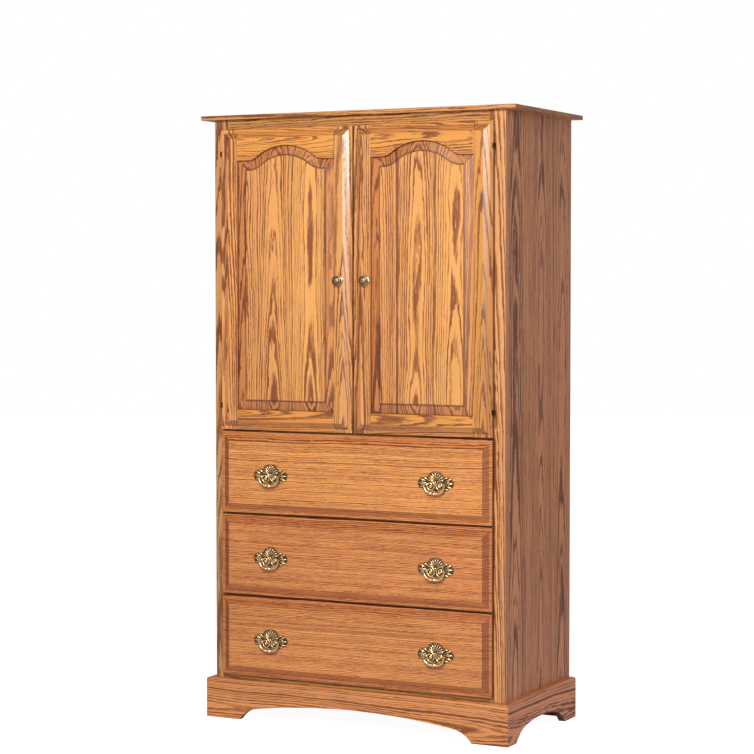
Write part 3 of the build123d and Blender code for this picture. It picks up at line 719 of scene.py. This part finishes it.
def make_bail(place):
    """One swinging handle: a tapered bar in a U with a turned bulb at its middle."""
    side, drop, corner = 32.6, 26.0, 24.0
    half = [(side, 0, 1.5, 2.4), (side, 0, -1, 2.6), (side - 0.2, 0, -5, 2.8)]
    for i in range(2, 8):
        angle = math.radians(i * 11.5)
        half.append((side - corner + corner * math.cos(angle), 0,
                     -drop + corner - corner * math.sin(angle), 2.7 + 0.20 * i))
    half += [(10, 0, -drop, 3.9), (8, 0, -drop, 3.0)]
    bulb = [(10, 2.6), (9, 4.0), (7.4, 4.1), (6.6, 2.8), (5.2, 3.4), (3.4, 5.0), (0, 5.35)]
    turned = [(across, 0, -drop, radius) for across, radius in bulb]
    turned += [(-across, 0, -drop, radius) for across, radius in reversed(bulb[:-1])]
    ribs = [*both_sides(half), turned]
    ribs += both_sides([(side, 0, 0, 1.6), (29, 0, 0, 1.55), (24.6, 0, 0, 1.5)])
    parts = [cast_ribs(ribs, place, sides=4, steps=5)]
    for sign in (-1, 1):
        parts.append(cast_bead(place, side * sign, 0, 0, 3.15))
    handle = joined_piece(parts, "Bail")
    mark_rubbed(handle, place, rubbed_bail)
    return handle


def make_knob(place):
    """One turned knob: a beaded rose, a waisted neck and a dished head with a button."""
    profile = [
        (15.4, 0.0), (15.4, 1.3), (14.6, 2.2), (12.6, 2.3), (11.8, 2.9), (10.2, 3.0), (8.4, 3.4), (6.4, 5.0),
        (5.6, 7.0), (5.8, 8.6), (7.2, 10.2), (8.2, 10.6), (8.0, 11.4), (10.4, 12.0), (13.0, 13.0),
        (14.2, 14.2), (14.3, 15.2), (13.6, 16.2), (12.0, 16.9), (11.0, 16.6), (10.2, 16.5), (8.8, 17.1),
        (6.4, 18.1), (3.4, 18.8)]
    deselect()
    bpy.ops.mesh.primitive_circle_add(
        vertices=48, radius=profile[0][0] * MM, fill_type="NGON",
        location=place, rotation=(math.pi / 2, 0, 0))
    knob = bpy.context.object
    bpy.ops.object.transform_apply(location=True, rotation=True, scale=True)
    bpy.ops.object.mode_set(mode="EDIT")
    bpy.ops.mesh.select_all(action="SELECT")
    for (radius, out), (next_radius, next_out) in zip(profile, profile[1:]):
        bpy.ops.mesh.extrude_region_move(TRANSFORM_OT_translate={"value": (0, -(next_out - out) * MM, 0)})
        share = next_radius / radius
        bpy.ops.transform.resize(
            value=(share, 1, share), center_override=(place[0], place[1] - next_out * MM, place[2]))
    bpy.ops.mesh.inset(thickness=1.8 * MM)
    bpy.ops.transform.translate(value=(0, -0.15 * MM, 0))
    bpy.ops.mesh.select_all(action="SELECT")
    bpy.ops.mesh.normals_make_consistent(inside=False)
    bpy.ops.object.mode_set(mode="OBJECT")
    bpy.ops.object.shade_smooth_by_angle(angle=math.radians(50))
    parts = [knob]
    for i in range(20):
        angle = math.radians(i * 18)
        parts.append(cast_bead(place, 13.6 * math.cos(angle), 2.0, 13.6 * math.sin(angle), 1.35))
    knob = joined_piece(parts, "Knob")
    mark_rubbed(knob, place, rubbed_knob)
    return knob


def moved_copy(piece, offset, name):
    """A copy with its own mesh, moved in the mesh so that its origin stays put."""
    copy = piece.copy()
    copy.data = piece.data.copy()
    bpy.context.scene.collection.objects.link(copy)
    copy.data.transform(Matrix.Translation(offset))
    copy.name = copy.data.name = name
    return copy


def mark_rubbed(piece, place, rule):
    """Stores how rubbed each point is, by a rule of its (across, out, up) in millimetres."""
    values = piece.data.attributes.new("rubbed", "FLOAT", "POINT").data
    for value, point in zip(values, piece.data.vertices):
        across, depth, up = (point.co - Vector(place)) / MM
        value.value = min(1.0, max(0.0, rule(across, -depth, up)))


def rubbed_plate(across, out, up):
    """High relief is rubbed, the ground isn't."""
    return (out - 1.8) / 4.2


def rubbed_bail(across, out, up):
    """Fingers rub the low middle of the handle most."""
    return 0.45 - up * 0.020 + 0.04 * out


def rubbed_knob(across, out, up):
    """The beads of the rose, the rim of the head and its button are rubbed; the neck and the dish aren't."""
    reach = math.hypot(across, up)
    if out < 3.2:
        return 0.75 if reach > 12.4 and out > 1.6 else 0.15
    if out < 11.5:
        return 0.05
    if reach > 12.2:
        return 0.58
    return 0.08 if reach > 8.4 else 0.44


def finish_cast(piece, name, body, node):
    """Names a cast piece, gives it the brass, ties it to its body and hides the CAD node it stands in for.
    """
    piece.name = piece.data.name = name
    piece.data.materials.clear()
    piece.data.materials.append(brass_material())
    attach(piece, body)
    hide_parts(node)


class ARMOIRE_OT_make_knobs(bpy.types.Operator):
    """Makes the two turned brass door knobs"""
    bl_idname = "armoire.make_knobs"
    bl_label = "Make the knobs"

    def execute(self, context):
        first = None
        for side in ("left", "right"):
            low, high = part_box(f"door_{side}_knob")
            place = Vector(((low.x + high.x) / 2, FACE, (low.z + high.z) / 2))
            if first is None:
                first, first_place = make_knob(place), place
                piece = first
            else:
                piece = moved_copy(first, place - first_place, "Knob_copy")
            finish_cast(piece, f"Knob_{side}", f"door_{side}", f"door_{side}_knob")
        return {"FINISHED"}


class ARMOIRE_OT_make_pull_plates(bpy.types.Operator):
    """Makes the cast back plates of the drawer pulls"""
    bl_idname = "armoire.make_pull_plates"
    bl_label = "Make the pull plates"

    def execute(self, context):
        pattern = make_pull_plate((0, FACE, 0))
        for number, pivot in PULLS.items():
            pair = [moved_copy(pattern, Vector((side * PULL_SIDE, 0, pivot)), "Plate_copy")
                    for side in (-1, 1)]
            piece = joined_piece(pair, f"Pull_plates_{number}")
            finish_cast(piece, f"Pull_plates_{number}", f"drawer_{number}", f"drawer_{number}_pull_plates")
        bpy.data.objects.remove(pattern)
        return {"FINISHED"}


class ARMOIRE_OT_make_bails(bpy.types.Operator):
    """Makes the six swinging handles of the drawer pulls"""
    bl_idname = "armoire.make_bails"
    bl_label = "Make the bails"

    def execute(self, context):
        pattern = make_bail((0, FACE - PIVOT_REACH, 0))
        for number, pivot in PULLS.items():
            for side, sign in (("left", -1), ("right", 1)):
                piece = moved_copy(pattern, Vector((sign * PULL_SIDE, 0, pivot)), "Bail_copy")
                finish_cast(piece, f"Bail_{number}_{side}", f"bail_{number}_{side}",
                            f"drawer_{number}_bail_{side}")
        bpy.data.objects.remove(pattern)
        return {"FINISHED"}


# ---------------------------------------------------------------- stage

# Each light: name, setting that holds its power, place, where it aims, width, height and colour.
LIGHTS = (
    ("Key_light", "key_power", (1.20, -3.9, 3.10), (0.0, -0.2, 0.90), 1.6, 1.0, (1.0, 0.96, 0.86)),
    ("Rim_glint", "glint_power", (1.66, -4.13, 2.20), (0.0, -0.25, 1.65), 0.7, 0.5, (1.0, 1.0, 0.96)),
    ("Side_fill", "fill_power", (4.2, 1.6, 0.4), (0.5, 0.1, 0.3), 2.2, 1.8, (0.84, 0.88, 1.0)),
)


def soft_light(name, power, place, aim, width, height, colour):
    light = bpy.data.lights.new(name, "AREA")
    light.shape, light.size, light.size_y = "RECTANGLE", width, height
    light.energy, light.color = power, colour
    lamp = bpy.data.objects.new(name, light)
    bpy.context.scene.collection.objects.link(lamp)
    lamp.location = place
    lamp.rotation_euler = (Vector(aim) - Vector(place)).to_track_quat("-Z", "Y").to_euler()
    return lamp


class ARMOIRE_OT_make_stage(bpy.types.Operator):
    """Makes the camera, the pale floor and the soft lights"""
    bl_idname = "armoire.make_stage"
    bl_label = "Make the stage"

    def execute(self, context):
        stage = context.scene.armoire.stage
        eye = bpy.data.cameras.new("Camera")
        eye.lens, eye.sensor_width = stage.lens, 36.0
        eye.clip_start, eye.clip_end = 0.1, 100.0
        camera = bpy.data.objects.new("Camera", eye)
        camera.location = tuple(stage.camera_place)
        camera.rotation_euler = (math.pi / 2 - stage.camera_dip, 0.0, stage.camera_turn)
        context.scene.collection.objects.link(camera)
        context.scene.camera = camera
        context.scene.view_settings.view_transform = "Standard"

        deselect()
        bpy.ops.mesh.primitive_circle_add(vertices=96, radius=16.0, fill_type="NGON", location=(0, 0, 0))
        floor = context.object
        floor.name = "Studio_floor"
        material, w, shader = new_material("Pale_floor")
        tone = w.noise(w.add("ShaderNodeTexCoord").outputs["Object"], scale=1.5, detail=3.0)
        near = tuple(stage.floor_colour)
        w.put(shader.inputs["Base Color"], w.blend(tone, near, tuple(1.05 * part for part in near)))
        shader.inputs["Roughness"].default_value = 0.9
        shader.inputs["Specular IOR Level"].default_value = 0.1
        glow = w.add("ShaderNodeEmission", {"Color": (1.0, 1.0, 1.0)})
        w.put(glow.inputs["Strength"], w.maths(
            "MULTIPLY", w.add("ShaderNodeLightPath").outputs["Is Camera Ray"], 0.95))
        both = w.add("ShaderNodeAddShader")
        w.put(both.inputs[0], shader.outputs["BSDF"])
        w.put(both.inputs[1], glow.outputs["Emission"])
        end = next(node for node in material.node_tree.nodes if node.type == "OUTPUT_MATERIAL")
        w.put(end.inputs["Surface"], both.outputs[0])
        floor.data.materials.append(material)

        for name, power, *light in LIGHTS:
            soft_light(name, getattr(stage, power), *light)
        world = bpy.data.worlds.new("Studio")
        context.scene.world = world
        world.use_nodes = True
        tree = world.node_tree
        tree.nodes.clear()
        w = Wiring(tree)
        path = w.add("ShaderNodeLightPath").outputs
        seen = path["Is Camera Ray"]
        strength = w.between(path["Is Diffuse Ray"], 0.0, 1.0,
                             stage.sheen_strength, stage.sky_strength, "LINEAR")
        room = w.add("ShaderNodeBackground", {"Color": (1.0, 0.955, 0.90), "Strength": strength})
        sheet = w.add("ShaderNodeBackground", {"Color": (1.0, 1.0, 1.0), "Strength": 1.0})
        mixed = w.add("ShaderNodeMixShader")
        w.put(mixed.inputs[0], seen)
        w.put(mixed.inputs[1], room.outputs[0])
        w.put(mixed.inputs[2], sheet.outputs[0])
        w.put(w.add("ShaderNodeOutputWorld").inputs["Surface"], mixed.outputs[0])
        return {"FINISHED"}


class ARMOIRE_PT_panel(bpy.types.Panel):
    """Lists the armoire's settings and the steps that make it"""
    bl_idname = "ARMOIRE_PT_panel"
    bl_label = "Armoire"
    bl_space_type = "VIEW_3D"
    bl_region_type = "UI"
    bl_category = "Armoire"

    def draw(self, context):
        for part in ("oak", "inside_wood", "brass", "stage"):
            settings = getattr(context.scene.armoire, part)
            box = self.layout.box()
            for name in settings.__annotations__:
                box.prop(settings, name)
        for step in STEPS:
            self.layout.operator(step.bl_idname)


STEPS = (
    ARMOIRE_OT_make_stage,
    ARMOIRE_OT_finish_wood,
    ARMOIRE_OT_finish_fittings,
    ARMOIRE_OT_make_knobs,
    ARMOIRE_OT_make_pull_plates,
    ARMOIRE_OT_make_bails,
)
GROUPS = (OakSettings, InsideWoodSettings, BrassSettings, StageSettings, ArmoireSettings)


def register():
    for each in (*GROUPS, *STEPS, ARMOIRE_PT_panel):
        bpy.utils.register_class(each)
    bpy.types.Scene.armoire = PointerProperty(type=ArmoireSettings)


def unregister():
    del bpy.types.Scene.armoire
    for each in reversed((*GROUPS, *STEPS, ARMOIRE_PT_panel)):
        bpy.utils.unregister_class(each)


def main():
    register()
    for step in STEPS:
        group, name = step.bl_idname.split(".")
        getattr(getattr(bpy.ops, group), name)()


if __name__ == "__main__":
    main()
